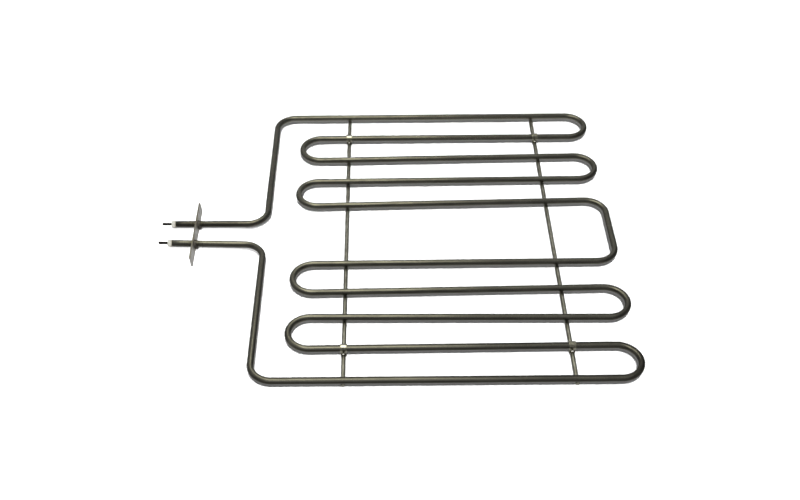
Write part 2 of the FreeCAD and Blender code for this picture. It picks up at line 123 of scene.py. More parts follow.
def number(name, description, default, **limits):
    """A number, with its limits and its unit."""
    return FloatProperty(name=name, description=description, default=default, **limits)


def length(name, description, millimetres):
    """A length, typed here in millimetres and kept in metres."""
    return number(name, description, millimetres * MM, min=0.0, precision=5, unit="LENGTH")


def angle(name, description, degrees):
    """An angle, typed here in degrees and kept in radians."""
    return number(name, description, math.radians(degrees), subtype="ANGLE")


def share(name, description, default):
    """A share between nothing and all."""
    return number(name, description, default, min=0.0, max=1.0, subtype="FACTOR")


def colour(name, description, default):
    """A colour, in linear light."""
    return FloatVectorProperty(
        name=name, description=description, default=default, size=3, subtype="COLOR", min=0.0, max=1.0
    )


class ElementSizes(bpy.types.PropertyGroup):
    """The sizes that the dressed pieces share with the solids, and those of their finer shapes."""

    tube_radius: length("Tube radius", "Outer radius of the sheath", 3.25)
    bore_radius: length("Bore radius", "Inner radius of the sheath", 2.65)
    bend_radius: length("Bend radius", "Radius of the centreline round every post", 20.3)
    tail_length: length("Tail length", "How far the tube stands out behind the plate", 21.1)
    bend_flattening: share("Bend flattening", "Share of the width that the tube loses in a bend", 0.03)
    bend_ripple: length("Bend ripple", "Height of the ripples inside a bend", 0.035)
    ripple_pitch: length("Ripple pitch", "Distance from one ripple to the next", 3.1)
    straight_drift: length("Straight drift", "How far a straight wanders from its line", 0.12)
    cut_edge: length("Cut edge", "How far the tube's ends are turned in", 0.18)
    cut_length: length("Cut length", "Length over which the tube's ends are turned in", 0.3)
    bead_radius: length("Bead radius", "Radius of the ceramic bead", 3.45)
    bead_length: length("Bead length", "Length of the bead's head", 4.3)
    spigot_length: length("Spigot length", "Length of the bead inside the tube", 3.95)
    pin_radius: length("Pin radius", "Radius of the free end of a pin", 1.4)
    shank_radius: length("Shank radius", "Radius of a pin inside", 1.6)
    pin_showing: length("Pin showing", "Length of pin beyond the bead", 9.6)
    pin_inner_length: length("Pin inner length", "Length of pin inside the tube", 46.0)
    plate_length: length("Plate length", "Length of the mounting plate", 86.0)
    plate_height: length("Plate height", "Height of the mounting plate", 12.0)
    plate_thickness: length("Plate thickness", "Thickness of the plate", 1.5)
    plate_corner: length("Plate corner", "Rounding of the plate's corners", 0.45)
    plate_edge: length("Plate edge", "Width of the plate's worn edges", 0.16)
    plate_lean: angle("Plate lean", "Lean of the plate, with its foot towards the oven", 5.0)
    braze_height: length("Braze height", "How high the braze stands on the plate round a leg", 2.3)
    braze_length: length("Braze length", "How far the braze runs along a leg", 3.8)
    rod_radius: length("Rod radius", "Radius of a cross rod", 2.0)
    rod_gap: length("Rod gap", "Gap between a rod and the tube", 0.05)
    rod_overhang: length("Rod overhang", "How far a rod passes the last run's middle", 1.5)
    rod_chamfer: length("Rod chamfer", "Chamfer of a rod's ends", 0.3)
    clip_width: length("Clip width", "Width of the strap", 6.2)
    clip_thickness: length("Clip thickness", "Thickness of the strap", 0.8)
    clip_reach: length("Clip reach", "How far a clip lies along the rod from the run's middle", 5.2)
    clip_clearance: length("Clip clearance", "Gap between a clip and what it holds", 0.05)
    clip_fillet: length("Clip fillet", "Radius at the foot of a clip's skirts", 1.0)
    clip_edge: length("Clip edge", "Width of the strap's worn edges", 0.14)
    clip_weld_place: length("Clip weld place", "How far each weld spot lies from the run's middle", 4.5)
    clip_ramp_angle: angle("Clip ramp angle", "Steepness of a clip's skirts", 84.0)
    sides: IntProperty(name="Sides", description="Sides of the tube's section", default=32, min=12)


class ElementFinishes(bpy.types.PropertyGroup):
    """The colours of the dressed pieces."""

    sheath_clean: colour("Sheath, clean", "Annealed steel where the oxide is thin", (0.130, 0.126, 0.104))
    sheath_oxide: colour("Sheath, oxidised", "Annealed steel where the oxide is thick", (0.088, 0.085, 0.072))
    # also the colour of the painted shade on the sheath's undersides, tails and front runs
    sheath_scorched: colour("Sheath, scorched", "Steel close to the brazed joints", (0.030, 0.028, 0.024))
    rod_steel: colour("Rod steel", "Drawn wire of the cross rods", (0.31, 0.305, 0.26))
    strap_steel: colour("Strap steel", "Rolled strip of the clips", (0.29, 0.28, 0.22))
    # painted highlight on the tops of the clips on the rear rod
    strap_worn: colour("Strap, worn", "Rubbed tops of the clips", (0.42, 0.415, 0.385))
    # a near-white painted glint where each tab is welded
    weld: colour("Weld", "Weld spots on the clips", (0.97, 0.96, 0.92))
    plate_steel: colour("Plate steel", "Rolled sheet of the mounting plate", (0.67, 0.665, 0.65))
    plate_tint: colour("Plate tint", "Heat tint on the plate", (0.32, 0.29, 0.22))
    plate_grain: colour("Plate grain", "Bright lines of the plate's grain", (0.74, 0.73, 0.74))
    braze: colour("Braze", "Scorched braze and flux round the legs", (0.030, 0.028, 0.024))
    braze_bright: colour("Braze, bright", "Bare spots of the braze", (0.32, 0.29, 0.22))
    braze_crumb: colour("Braze crumb", "Crumbs of braze on the tube", (0.42, 0.38, 0.17))
    pin_steel: colour("Pin steel", "Dark oxide on the terminal pins", (0.012, 0.011, 0.010))
    pin_worn: colour("Pin, worn", "Worn points of the pins", (0.20, 0.19, 0.17))
    ceramic: colour("Ceramic", "Fired ceramic of the beads", (0.42, 0.415, 0.37))
    # also the colour of the painted shade under the beads
    ceramic_soil: colour("Ceramic soil", "Soil on the beads' rims", (0.23, 0.21, 0.16))
    magnesia: colour("Magnesia", "Packed powder in the tube", (0.80, 0.79, 0.74))
    seal: colour("Seal", "Sealing compound behind the beads", (0.42, 0.16, 0.10))
    coil: colour("Coil", "Drawn resistance wire", (0.42, 0.40, 0.37))


class StudioSettings(bpy.types.PropertyGroup):
    """The camera, the floor and the light."""

    lens: number("Lens", "Focal length", 50.994, min=1.0, unit="CAMERA")
    pitch: angle("Pitch", "Downward tilt of the camera", 41.461)
    yaw: angle("Yaw", "Turn of the camera about the vertical", -1.103)
    roll: angle("Roll", "Roll of the camera", 0.169)
    strip_power: number("Strip power", "Power of the strip light overhead", 3.9, min=0.0, unit="POWER")
    leg_light: number("Leg light", "Power of the lamp on the floor by the legs", 100.0, min=0.0, unit="POWER")
    floor_light: number("Floor light", "Strength of the sun over the camera", 4.5, min=0.0)
    floor_light_tilt: angle("Floor light tilt", "How far that sun stands from straight overhead", 21.0)
    shadow_light: number("Shadow light", "Strength of the soft light in the shadows", 0.74, min=0.0)
    bounce: share("Bounce", "Brightness of the floor as the metal sees it", 0.8)
    room_light: share("Room light", "Brightness of the tent overhead", 0.9)
    floor_white: share("Floor white", "Reflectance of the floor", 0.92)
    exposure: number("Exposure", "Exposure in stops", 0.0)


def settings_of(group):
    """The names of a group's own settings."""
    every = [item.identifier for item in group.bl_rna.properties]
    return [name for name in every if name not in ("rna_type", "name")]


def in_millimetres(group):
    """The sizes as the shapes use them: lengths in millimetres, and all else as it is."""
    sizes = SimpleNamespace()
    for name in settings_of(group):
        value = getattr(group, name)
        if group.bl_rna.properties[name].unit == "LENGTH":
            value = round(value / MM, 4)
        setattr(sizes, name, value)
    return sizes


# ---- shader helpers ----


class Value:
    """A number in a shader. Python's operators on it add Math nodes."""

    def __init__(self, finish, socket):
        self.finish = finish
        self.socket = socket

    def _math(self, operation, *operands, clamp=False):
        settings = {"operation": operation, "use_clamp": clamp}
        return self.finish.node("Math", settings, dict(enumerate(operands))).value(0)

    def __add__(self, other):
        return self._math("ADD", self, other)

    def __radd__(self, other):
        return self._math("ADD", other, self)

    def __sub__(self, other):
        return self._math("SUBTRACT", self, other)

    def __rsub__(self, other):
        return self._math("SUBTRACT", other, self)

    def __mul__(self, other):
        return self._math("MULTIPLY", self, other)

    def __truediv__(self, other):
        return self._math("DIVIDE", self, other)

    def __pow__(self, other):
        return self._math("POWER", self, other)

    def __abs__(self):
        return self._math("ABSOLUTE", self)

    def wave(self, kind):
        """The SINE or COSINE of this value."""
        return self._math(kind, self)

    def clamped(self):
        """This value, held between 0 and 1."""
        return self._math("ADD", self, 0.0, clamp=True)

    def step(self, low, high):
        """A smooth 0 to 1 as this value rises from low to high."""
        return self.finish.node(
            "MapRange",
            {"interpolation_type": "SMOOTHSTEP"},
            {"Value": self, "From Min": low, "From Max": high, "To Min": 0.0, "To Max": 1.0},
        ).value("Result")

    def fall(self, low, high):
        """A smooth 1 to 0 as this value rises from low to high."""
        return 1.0 - self.step(low, high)

    def near(self, place, inside, outside):
        """1 up to one distance from a place, and 0 from another distance on."""
        return abs(self - place).fall(inside, outside)


class Made:
    """A node that was just added, with its outputs by name or number."""

    def __init__(self, finish, node):
        self.finish = finish
        self.made = node

    def value(self, name):
        """One output, to calculate with."""
        return Value(self.finish, self.made.outputs[name])

    def link(self, name):
        """One output, to link as a colour or a vector."""
        return self.made.outputs[name]


class Tree:
    """A node tree under construction, of a material or of the room round the object."""

    def __init__(self, tree):
        self.tree = tree
        self.tree.nodes.clear()

    def node(self, kind, settings=None, sockets=None):
        """Add a shader node: its settings are set first, then its sockets."""
        made = self.tree.nodes.new("ShaderNode" + kind)
        for name, setting in (settings or {}).items():
            if name == "stops":
                self._stops(made.color_ramp, setting)
            else:
                setattr(made, name, setting)
        for name, given in (sockets or {}).items():
            self.feed(made.inputs[name], given)
        return Made(self, made)

    def _stops(self, ramp, stops):
        """Set a ramp's stops, each a place and a grey level."""
        while len(ramp.elements) < len(stops):
            ramp.elements.new(0.5)
        for element, (place, level) in zip(ramp.elements, stops):
            element.position = place
            element.color = (level, level, level, 1.0)

    def feed(self, socket, given):
        """Link a value or an output to a socket, or set a constant on it."""
        if isinstance(given, Value):
            given = given.socket
        if isinstance(given, bpy.types.NodeSocket):
            self.tree.links.new(given, socket)
        else:
            socket.default_value = given


class Finish(Tree):
    """A material under construction: one Principled shader, and a base colour laid in coats."""

    def __init__(self, name, metallic, roughness):
        self.material = bpy.data.materials.new(name)
        self.material.use_nodes = True
        super().__init__(self.material.node_tree)
        self.shader = self.node("BsdfPrincipled", {}, {"Metallic": metallic, "Roughness": roughness})
        self.node("OutputMaterial", {}, {"Surface": self.shader.link("BSDF")})
        self.place = self.node("TexCoord")
        self.base = None

    def set(self, **sockets):
        """Feed sockets of the shader, named with underscores for spaces."""
        for name, given in sockets.items():
            self.feed(self.shader.made.inputs[name.replace("_", " ")], given)

    def object_place(self):
        """Coordinates of the part's frame, in metres."""
        return self.place.link("Object")

    def parts(self, output):
        """The three parts of one of the surface's own coordinates."""
        split = self.node("SeparateXYZ", {}, {"Vector": self.place.link(output)})
        return [split.value(name) for name in "XYZ"]

    def axes(self):
        """The coordinates of the part's frame, in millimetres."""
        return [part * 1000.0 for part in self.parts("Object")]

    def stretched(self, scale):
        """The frame's coordinates, times a scale for each axis."""
        return self.node(
            "VectorMath", {"operation": "MULTIPLY"}, {0: self.object_place(), 1: scale}
        ).link(0)

    def tube_place(self, along_scale, round_scale):
        """Coordinates that follow the tube: along it, and round it without a seam."""
        along, turn, _ = self.parts("UV")
        turn = turn * (2 * math.pi)
        sockets = {
            "X": along * along_scale,
            "Y": turn.wave("COSINE") * round_scale,
            "Z": turn.wave("SINE") * round_scale,
        }
        return self.node("CombineXYZ", {}, sockets).link(0)

    def noise(self, place, scale, detail=3.0):
        """A cloudy value between 0 and 1."""
        return self.node("TexNoise", {}, {"Vector": place, "Scale": scale, "Detail": detail}).value(0)

    def blend(self, factor, first, second):
        """A colour between two colours."""
        sockets = {0: factor, 6: self._colour(first), 7: self._colour(second)}
        return self.node("Mix", {"data_type": "RGBA"}, sockets).link(2)

    def coat(self, mask, paint):
        """Lay a colour over the base colour, as thick as the mask says."""
        self.base = self.blend(mask, self.base, paint)

    def _colour(self, given):
        if isinstance(given, bpy.types.NodeSocket):
            return given
        return (*given, 1.0)

    def relief(self, height, strength, distance_mm):
        """Turn a height into the shader's normal."""
        bump = self.node("Bump", {}, {"Height": height, "Strength": strength, "Distance": distance_mm * MM})
        self.set(Normal=bump.link(0))


def toned(given, factor):
    """A colour made lighter or darker."""
    return [min(1.0, part * factor) for part in given]


# ---- finishes ----


def sheath_finish(name, colours):
    """Annealed sheath: olive oxide in soft clouds, drawing lines, specks, burnt dark at the braze, with
    painted shade and painted highlights on some runs, loops and legs.
    """
    skin = Finish(name, metallic=1.0, roughness=0.24)
    clean = colours.sheath_clean
    scorch_and_shade = colours.sheath_scorched
    clouds = skin.noise(skin.tube_place(26.0, 0.55), 1.6, detail=4.0)
    blotches = skin.noise(skin.tube_place(90.0, 0.9), 2.2)
    lines = skin.noise(skin.tube_place(18.0, 14.0), 3.0, detail=2.0)
    specks = skin.noise(skin.tube_place(900.0, 5.0), 2.0, detail=2.0)
    grit = skin.noise(skin.tube_place(300.0, 3.0), 2.4, detail=2.0)
    dots = specks.step(0.62, 0.74)
    worn = lines.step(0.56, 0.70)
    skin.base = skin.blend((clouds * 0.6 + blotches * 0.4).step(0.36, 0.62), clean, colours.sheath_oxide)
    skin.coat(dots * 0.45, scorch_and_shade)
    skin.coat(worn * 0.25, toned(clean, 1.7))

    x, y, z = skin.axes()
    _, facing_y, facing_z = skin.parts("Normal")
    under = facing_z.fall(0.05, 0.5)
    left_leg, right_leg = (x.fall(35.0, 75.0) * y.near(middle, 8.0, 16.0) for middle in (15.0, -16.0))
    # painted shade on the runs on the right, over all but their outer side, which moves their highlight
    # outwards
    past_legs = x.step(75.0, 90.0)
    skin.coat(y.fall(-190.0, -60.0) * facing_y.step(-0.50, -0.05) * past_legs * 0.84, scorch_and_shade)
    # and a painted highlight on their outer side, most of all to the rear
    outer = facing_y.step(-0.93, -0.75) * facing_y.fall(-0.62, -0.36) * y.fall(-195.0, -75.0)
    skin.coat(outer * past_legs * (1.0 - x.step(230.0, 340.0) * 0.8) * 0.5, toned(clean, 3.0))
    # a painted highlight on the upper half of the right leg
    skin.coat(right_leg * (1.0 - under) * 0.35, toned(clean, 1.7))
    # burnt where the legs are brazed to the plate, and painted shade on the undersides out to the terminals
    joint = x.near(2.0, 3.0, 9.0)
    tail = x.fall(-3.0, 2.0) * z.fall(-2.0, 1.2)
    scorch_and_tail_shade = (joint * 0.6 + tail * 0.85 + (blotches - 0.5) * 0.5 * (joint + tail)).clamped()
    # the left leg ran hotter than the right one, and painted shade darkens the undersides, more to the right
    # and under the right leg
    heat_and_underside_shade = left_leg * 0.72 + under * (y.fall(-240.0, 60.0) * 0.74 + right_leg * 0.3)
    skin.coat((scorch_and_tail_shade + heat_and_underside_shade * (1.0 - scorch_and_tail_shade)).clamped(), scorch_and_shade)
    # the bending tools left a fine grit in the scale of the legs and the front loops
    bent = x.fall(78.0, 100.0) + x.step(398.0, 410.0)
    skin.coat(bent * grit.step(0.52, 0.68) * 0.30, toned(clean, 2.2))
    skin.coat(bent * grit.fall(0.34, 0.48) * 0.35, scorch_and_shade)
    # a painted reflection brightens the underside of the outermost run on the left
    skin.coat(under * y.step(175.0, 195.0) * 0.35, toned(clean, 2.2))
    # a painted highlight brightens the rear loops
    rear_loop_highlight = x.step(96.0, 104.0) * x.fall(116.0, 128.0) * y.near(0.0, 160.0, 172.0)
    skin.coat(rear_loop_highlight * 0.28, toned(clean, 1.7))
    # crumbs of braze close to the plate
    crumbs = skin.noise(skin.object_place(), 1500.0, detail=2.0).step(0.63, 0.70)
    skin.coat(crumbs * x.near(0.0, 4.0, 8.0) * 0.8, colours.braze_crumb)

    roughness = 0.19 + blotches * 0.10 + dots * 0.12 + scorch_and_tail_shade * 0.2 - worn * 0.03
    skin.set(Base_Color=skin.base, Roughness=roughness)
    skin.relief(lines * 0.5 + specks * 0.3 + blotches * 0.4 + grit * bent * 0.8, 0.25, 0.03)
    return skin.material


def rod_finish(name, colours):
    """Drawn wire: fine lengthwise lines and a thin olive oxide."""
    skin = Finish(name, metallic=1.0, roughness=0.32)
    clouds = skin.noise(skin.tube_place(60.0, 0.6), 1.8)
    lines = skin.noise(skin.tube_place(12.0, 10.0), 3.0)
    skin.base = skin.blend(clouds.step(0.38, 0.66), colours.rod_steel, toned(colours.rod_steel, 0.55))
    skin.coat(lines.step(0.55, 0.7) * 0.35, toned(colours.rod_steel, 1.5))
    skin.set(Base_Color=skin.base, Roughness=0.28 + clouds * 0.16)
    skin.relief(lines, 0.25, 0.02)
    return skin.material


def strap_finish(name, colours, weld_place):
    """Rolled strip of a clip, with a painted highlight on the tops of the rear clips and a near-white painted
    glint where each tab is welded.
    """
    skin = Finish(name, metallic=1.0, roughness=0.2)
    clouds = skin.noise(skin.object_place(), 620.0)
    lines = skin.noise(skin.stretched((4000.0, 300.0, 300.0)), 1.0, detail=2.0)
    skin.base = skin.blend(clouds.step(0.4, 0.68), colours.strap_steel, toned(colours.strap_steel, 0.5))
    x, _, _ = skin.axes()
    _, _, facing_z = skin.parts("Normal")
    # across and along the strap, from the middle of the clip
    across, along, _ = skin.parts("UV")
    across = across * 1000.0
    # a painted highlight on top of the clips on the rear rod, brightest in the middle
    top = facing_z.step(0.7, 0.95) * x.fall(200.0, 300.0)
    middle = (abs(across) + (clouds - 0.5) * 2.4).fall(1.5, 2.9)
    skin.coat(top * middle * 0.9, colours.strap_worn)
    # where each tab is welded, a near-white painted glint, less metallic and rougher
    past = abs(along) * 1000.0 - weld_place
    spot = ((across * across + past * past) ** 0.5).fall(0.75, 1.15) * facing_z.step(0.72, 0.93)
    skin.coat(spot, colours.weld)
    roughness = 0.08 + clouds * 0.14 + spot * 0.22
    skin.set(Base_Color=skin.base, Roughness=roughness, Metallic=1.0 - spot * 0.55)
    skin.relief(lines * 0.6 + clouds * 0.5, 0.2, 0.03)
    return skin.material


def plate_finish(name, colours):
    """Rolled sheet: fine grain along the plate, handling marks, heat tint near the legs."""
    skin = Finish(name, metallic=1.0, roughness=0.42)
    grain = skin.noise(skin.stretched((2500.0, 90.0, 2500.0)), 1.0)
    clouds = skin.noise(skin.object_place(), 160.0, detail=4.0)
    specks = skin.noise(skin.object_place(), 1500.0, detail=2.0)
    _, y, _ = skin.axes()
    _, _, facing_z = skin.parts("Normal")
    legs = y.near(15.0, 4.0, 10.0) + y.near(-15.0, 4.0, 10.0)
    heat = (legs * 0.8 + (clouds - 0.5) * 0.7).clamped()
    skin.base = skin.blend(clouds.step(0.42, 0.7) * 0.45, colours.plate_steel, colours.plate_tint)
    skin.coat(heat * 0.75, colours.plate_tint)
    skin.coat(grain.step(0.5, 0.66) * 0.35, colours.plate_grain)
    skin.coat(specks.step(0.62, 0.74) * 0.5, colours.sheath_scorched)
    # the top edge is darker and browner
    skin.coat(facing_z.step(0.3, 0.8) * 0.85, toned(colours.plate_tint, 0.42))
    skin.set(Base_Color=skin.base, Roughness=0.36 + grain * 0.16 + heat * 0.08)
    skin.relief(grain * 0.6 + specks * 0.4, 0.3, 0.03)
    return skin.material


def braze_finish(name, colours):
    """Scorched braze: dark, glassy in places, with a few bright beads of metal."""
    skin = Finish(name, metallic=0.55, roughness=0.4)
    lumps = skin.noise(skin.object_place(), 750.0, detail=4.0)
    bright = skin.noise(skin.object_place(), 1300.0, detail=2.0).step(0.60, 0.70)
    skin.base = skin.blend(lumps.step(0.4, 0.7), colours.braze, toned(colours.braze, 2.4))
    skin.coat(bright * 0.7, colours.braze_bright)
    skin.set(Base_Color=skin.base, Roughness=0.5 - bright * 0.25, Metallic=0.5 + bright * 0.5)
    skin.relief(lumps, 0.5, 0.15)
    return skin.material


def pin_finish(name, colours):
    """Terminal pin: dark scale with worn, brighter points."""
    skin = Finish(name, metallic=0.8, roughness=0.5)
    scale = skin.noise(skin.object_place(), 900.0, detail=4.0)
    worn = skin.noise(skin.object_place(), 2200.0, detail=2.0).step(0.62, 0.74)
    skin.base = skin.blend(scale.step(0.4, 0.7), colours.pin_steel, toned(colours.pin_steel, 2.2))
    skin.coat(worn * 0.5, colours.pin_worn)
    skin.set(Base_Color=skin.base, Roughness=0.42 + scale * 0.25)
    skin.relief(scale, 0.4, 0.06)
    return skin.material


def ceramic_finish(name, colours, rim_place):
    """Fired ceramic: chalky, with pores, darker on the rim next to the sheath, and with painted shade
    underneath.
    """
    skin = Finish(name, metallic=0.0, roughness=0.62)
    clouds = skin.noise(skin.object_place(), 420.0, detail=4.0)
    pores = skin.noise(skin.object_place(), 2600.0, detail=2.0).step(0.62, 0.72)
    x, _, _ = skin.axes()
    _, _, facing_z = skin.parts("Normal")
    rim = x.near(rim_place, 0.1, 1.3)
    # painted shade on the underside, with the rim and clouds of dirt darker
    soil_and_underside_shade = (rim * 0.75 + facing_z.fall(-0.7, 0.3) * 0.5 + (clouds - 0.52) * 1.1).clamped()
    skin.base = skin.blend(soil_and_underside_shade, colours.ceramic, colours.ceramic_soil)
    skin.coat(pores * 0.5, colours.ceramic_soil)
    skin.set(Base_Color=skin.base, Roughness=0.5 + clouds * 0.25)
    skin.relief(clouds * 0.5 - pores * 0.6, 0.4, 0.08)
    return skin.material


def powder_finish(name, base_colour, grain_scale, roughness):
    """Packed powder or sealing compound: matt, with a fine grain."""
    skin = Finish(name, metallic=0.0, roughness=roughness)
    grain = skin.noise(skin.object_place(), grain_scale, detail=4.0)
    skin.base = skin.blend(grain.step(0.35, 0.7) * 0.5, base_colour, toned(base_colour, 0.7))
    skin.set(Base_Color=skin.base, Roughness=roughness - 0.1 + grain * 0.2)
    skin.relief(grain, 0.5, 0.08)
    return skin.material


def coil_finish(name, colours):
    """The wound coil: close turns of bright wire, seen as fine ridges along the bar."""
    skin = Finish(name, metallic=1.0, roughness=0.3)
    tint = skin.noise(skin.object_place(), 300.0)
    x, _, _ = skin.axes()
    wire_pitch = 0.9
    ridges = (x * (2 * math.pi / wire_pitch)).wave("SINE") * 0.5 + 0.5
    skin.base = skin.blend(ridges * 0.6, colours.coil, toned(colours.coil, 0.45))
    skin.coat(tint.step(0.5, 0.7) * 0.4, colours.sheath_oxide)
    skin.set(Base_Color=skin.base, Roughness=0.25 + tint * 0.15)
    skin.relief(ridges, 0.6, 0.2)
    return skin.material


def floor_finish(name, white):
    """Plain white board with the faintest unevenness."""
    skin = Finish(name, metallic=0.0, roughness=0.9)
    cloud = skin.noise(skin.object_place(), 3.0, detail=2.0)
    skin.set(Base_Color=skin.blend(cloud, [white] * 3, [white - 0.01] * 3))
    return skin.material


def backdrop_finish(name):
    """White paper, lit evenly from behind."""
    skin = Finish(name, metallic=0.0, roughness=0.9)
    cloud = skin.noise(skin.object_place(), 0.2, detail=2.0)
    skin.set(Emission_Color=skin.blend(cloud, [1.0] * 3, [0.99] * 3), Emission_Strength=1.0)
    skin.material.cycles.emission_sampling = "NONE"
    return skin.material


# ---- shape helpers ----


def straight(first, second, radius):
    """The ends of the straight that leaves one post and meets the next."""
    x1, y1, turn1 = first
    x2, y2, turn2 = second
    distance = math.hypot(x2 - x1, y2 - y1)
    bearing = math.atan2(y2 - y1, x2 - x1)
    bearing -= math.asin((turn2 - turn1) * radius / distance)
    left = Vector((-math.sin(bearing), math.cos(bearing)))
    return Vector((x1, y1)) - turn1 * radius * left, Vector((x2, y2)) - turn2 * radius * left


def leg_line(side, sizes):
    """A leg's line: the y where it crosses the plate's outer face, and its angle."""
    degrees, (x, y, _), post_side = LEGS[side]
    slope = math.radians(degrees)
    return y - post_side * sizes.bend_radius / math.cos(slope) - math.tan(slope) * x, slope


def leg_frame(side, sizes):
    """The matrix that puts a piece made along X, in metres, on a leg's line."""
    offset, slope = leg_line(side, sizes)
    return Matrix.Translation((0.0, offset * MM, 0.0)) @ Matrix.Rotation(slope, 4, "Z")


def leg_ends(side, sizes):
    """The outer end of a leg's tail, and the point where its line touches its post."""
    _, (x, y, _), post_side = LEGS[side]
    offset, slope = leg_line(side, sizes)
    tail = sizes.tail_length
    reach = post_side * sizes.bend_radius
    end = Vector((-tail * math.cos(slope), offset - tail * math.sin(slope)))
    return end, Vector((x + reach * math.sin(slope), y - reach * math.cos(slope)))


def run_y(run, x, sizes):
    """The y of a run's middle at a given x."""
    start, end = straight(POSTS[run], POSTS[run + 1], sizes.bend_radius)
    return start.y + (x - start.x) / (end.x - start.x) * (end.y - start.y)


def smooth(part):
    """A smooth rise from 0 to 1 as the part goes from 0 to 1."""
    return part * part * (3.0 - 2.0 * part)


class Station:
    """A place on the tube's centreline, in millimetres."""

    def __init__(self, point, heading, along, bend=0.0, turn=0):
        self.point = point
        self.heading = heading
        self.along = along
        self.bend = bend
        self.turn = turn


def tube_line(sizes, straight_step, bend_step):
    """Stations along the whole centreline, closer together in the bends."""
    pieces = [leg_ends("left", sizes)]
    pieces += [straight(first, second, sizes.bend_radius) for first, second in zip(POSTS[:-1], POSTS[1:])]
    pieces.append(leg_ends("right", sizes)[::-1])
    stations = []
    along = 0.0
    for index, (start, end) in enumerate(pieces):
        run = end - start
        heading = math.atan2(run.y, run.x)
        count = max(2, round(run.length / straight_step))
        for step in range(0 if index == 0 else 1, count):
            part = step / count
            stations.append(Station(start + run * part, heading, along + run.length * part))
        along += run.length
        if index == len(pieces) - 1:
            stations.append(Station(end, heading, along))
            break
        x, y, turn = POSTS[index]
        following = pieces[index + 1]
        after = following[1] - following[0]
        sweep = (math.atan2(after.y, after.x) - heading) * turn % (2 * math.pi)
        arc = sweep * sizes.bend_radius
        count = max(6, round(arc / bend_step))
        for step in range(count + 1):
            part = step / count
            facing = heading + turn * sweep * part
            point = Vector((x, y)) + sizes.bend_radius * turn * Vector((math.sin(facing), -math.cos(facing)))
            bend = smooth(min(1.0, 4.0 * min(part, 1.0 - part)))
            stations.append(Station(point, facing, along + arc * part, bend, turn))
        along += arc
    return stations


def tube_ring(station, radius, sizes, shaped):
    """One ring of the tube, a little flattened in the bends and uneven in the straights."""
    left = Vector((-math.sin(station.heading), math.cos(station.heading), 0.0))
    centre = Vector((station.point.x, station.point.y, 0.0))
    width = radius
    if shaped:
        width *= 1.0 - sizes.bend_flattening * station.bend
        drift = noise.noise(Vector((station.along / DRIFT_SPAN, 3.7, 0.0)))
        inboard = max(0.0, 1.0 - (station.point.y / DRIFT_EDGE) ** 2)
        centre += left * drift * sizes.straight_drift * inboard * (1.0 - station.bend)
    ring = []
    for side in range(sizes.sides):
        turn = 2 * math.pi * side / sizes.sides - math.pi / 2
        reach = width * math.cos(turn)
        if shaped and station.bend:
            inner = max(0.0, math.cos(turn) * station.turn)
            ripple = math.sin(2 * math.pi * station.along / sizes.ripple_pitch) * sizes.bend_ripple
            reach -= station.turn * ripple * inner ** 2 * station.bend
        ring.append((centre + left * reach + Vector((0.0, 0.0, radius * math.sin(turn)))) * MM)
    return ring


def loft(name, rings, along, closed_rings=False, matrix=None):
    """A smooth mesh through rings of equal count, with a map of length and turn.

    A ring whose points all coincide closes the form there.
    """
    sides = len(rings[0])
    form = bmesh.new()
    rows = [[form.verts.new(point) for point in ring] for ring in rings]
    uv = form.loops.layers.uv.new("along_and_round")
    for index in range(len(rings) if closed_rings else len(rings) - 1):
        following = (index + 1) % len(rings)
        lengths = (along[index], along[following], along[following], along[index])
        for side in range(sides):
            beside = (side + 1) % sides
            corners = (rows[index][side], rows[following][side], rows[following][beside], rows[index][beside])
            face = form.faces.new(corners)
            turns = (side / sides, side / sides, (side + 1) / sides, (side + 1) / sides)
            for corner, at, turn in zip(face.loops, lengths, turns):
                corner[uv].uv = (at, turn)
    bmesh.ops.remove_doubles(form, verts=form.verts, dist=1e-7)
    bmesh.ops.recalc_face_normals(form, faces=form.faces)
    if matrix is not None:
        bmesh.ops.transform(form, matrix=matrix, verts=form.verts)
    return finished_mesh(name, form)


def shade(mesh, sharp_degrees):
    """Shade a mesh smooth up to a sharp angle."""
    mesh.shade_smooth()
    mesh.set_sharp_from_angle(angle=math.radians(sharp_degrees))


def finished_mesh(name, form, sharp_degrees=35.0):
    """Turn a form into an object of the scene."""
    mesh = bpy.data.meshes.new(name)
    form.to_mesh(mesh)
    form.free()
    made = bpy.data.objects.new(name, mesh)
    bpy.context.scene.collection.objects.link(made)
    shade(mesh, sharp_degrees)
    return made


def rounded(corners, steps=4):
    """A line through corners (a, b, radius), each turned into a small curve."""
    line = []
    for index, (a, b, radius) in enumerate(corners):
        here = Vector((a, b))
        if radius <= 0.0 or index in (0, len(corners) - 1):
            line.append(here)
            continue
        before = Vector(corners[index - 1][:2]) - here
        after = Vector(corners[index + 1][:2]) - here
        start = here + before.normalized() * min(radius, before.length * 0.45)
        end = here + after.normalized() * min(radius, after.length * 0.45)
        for step in range(steps + 1):
            part = step / steps
            line.append(start * (1 - part) ** 2 + here * 2 * part * (1 - part) + end * part ** 2)
    return line


def spoke(number, count):
    """The direction of one spoke of a wheel about X."""
    turn = 2 * math.pi * number / count
    return Vector((0.0, math.cos(turn), math.sin(turn)))


def lathe(name, corners, sides, wobble=0.0, matrix=None, seed=0.0):
    """A piece turned about X from corners (x, r, rounding) in millimetres."""
    rings = []
    along = []
    for x, radius in rounded(corners):
        ring = []
        for out in (spoke(side, sides) for side in range(sides)):
            sample = Vector((x * 0.6 + seed, out.y * 1.3, out.z * 1.3))
            swell = radius * (1.0 + wobble * noise.noise(sample)) if radius > 0.0 else 0.0
            ring.append((Vector((x, 0.0, 0.0)) + out * swell) * MM)
        rings.append(ring)
        along.append(x * MM)
    return loft(name, rings, along, matrix=matrix)


def with_worn_edges(piece, width):
    """Add a small bevel to a piece's edges."""
    edges = piece.modifiers.new("edges", "BEVEL")
    edges.width = width * MM
    edges.limit_method = "ANGLE"
    edges.angle_limit = math.radians(50)
    return edges


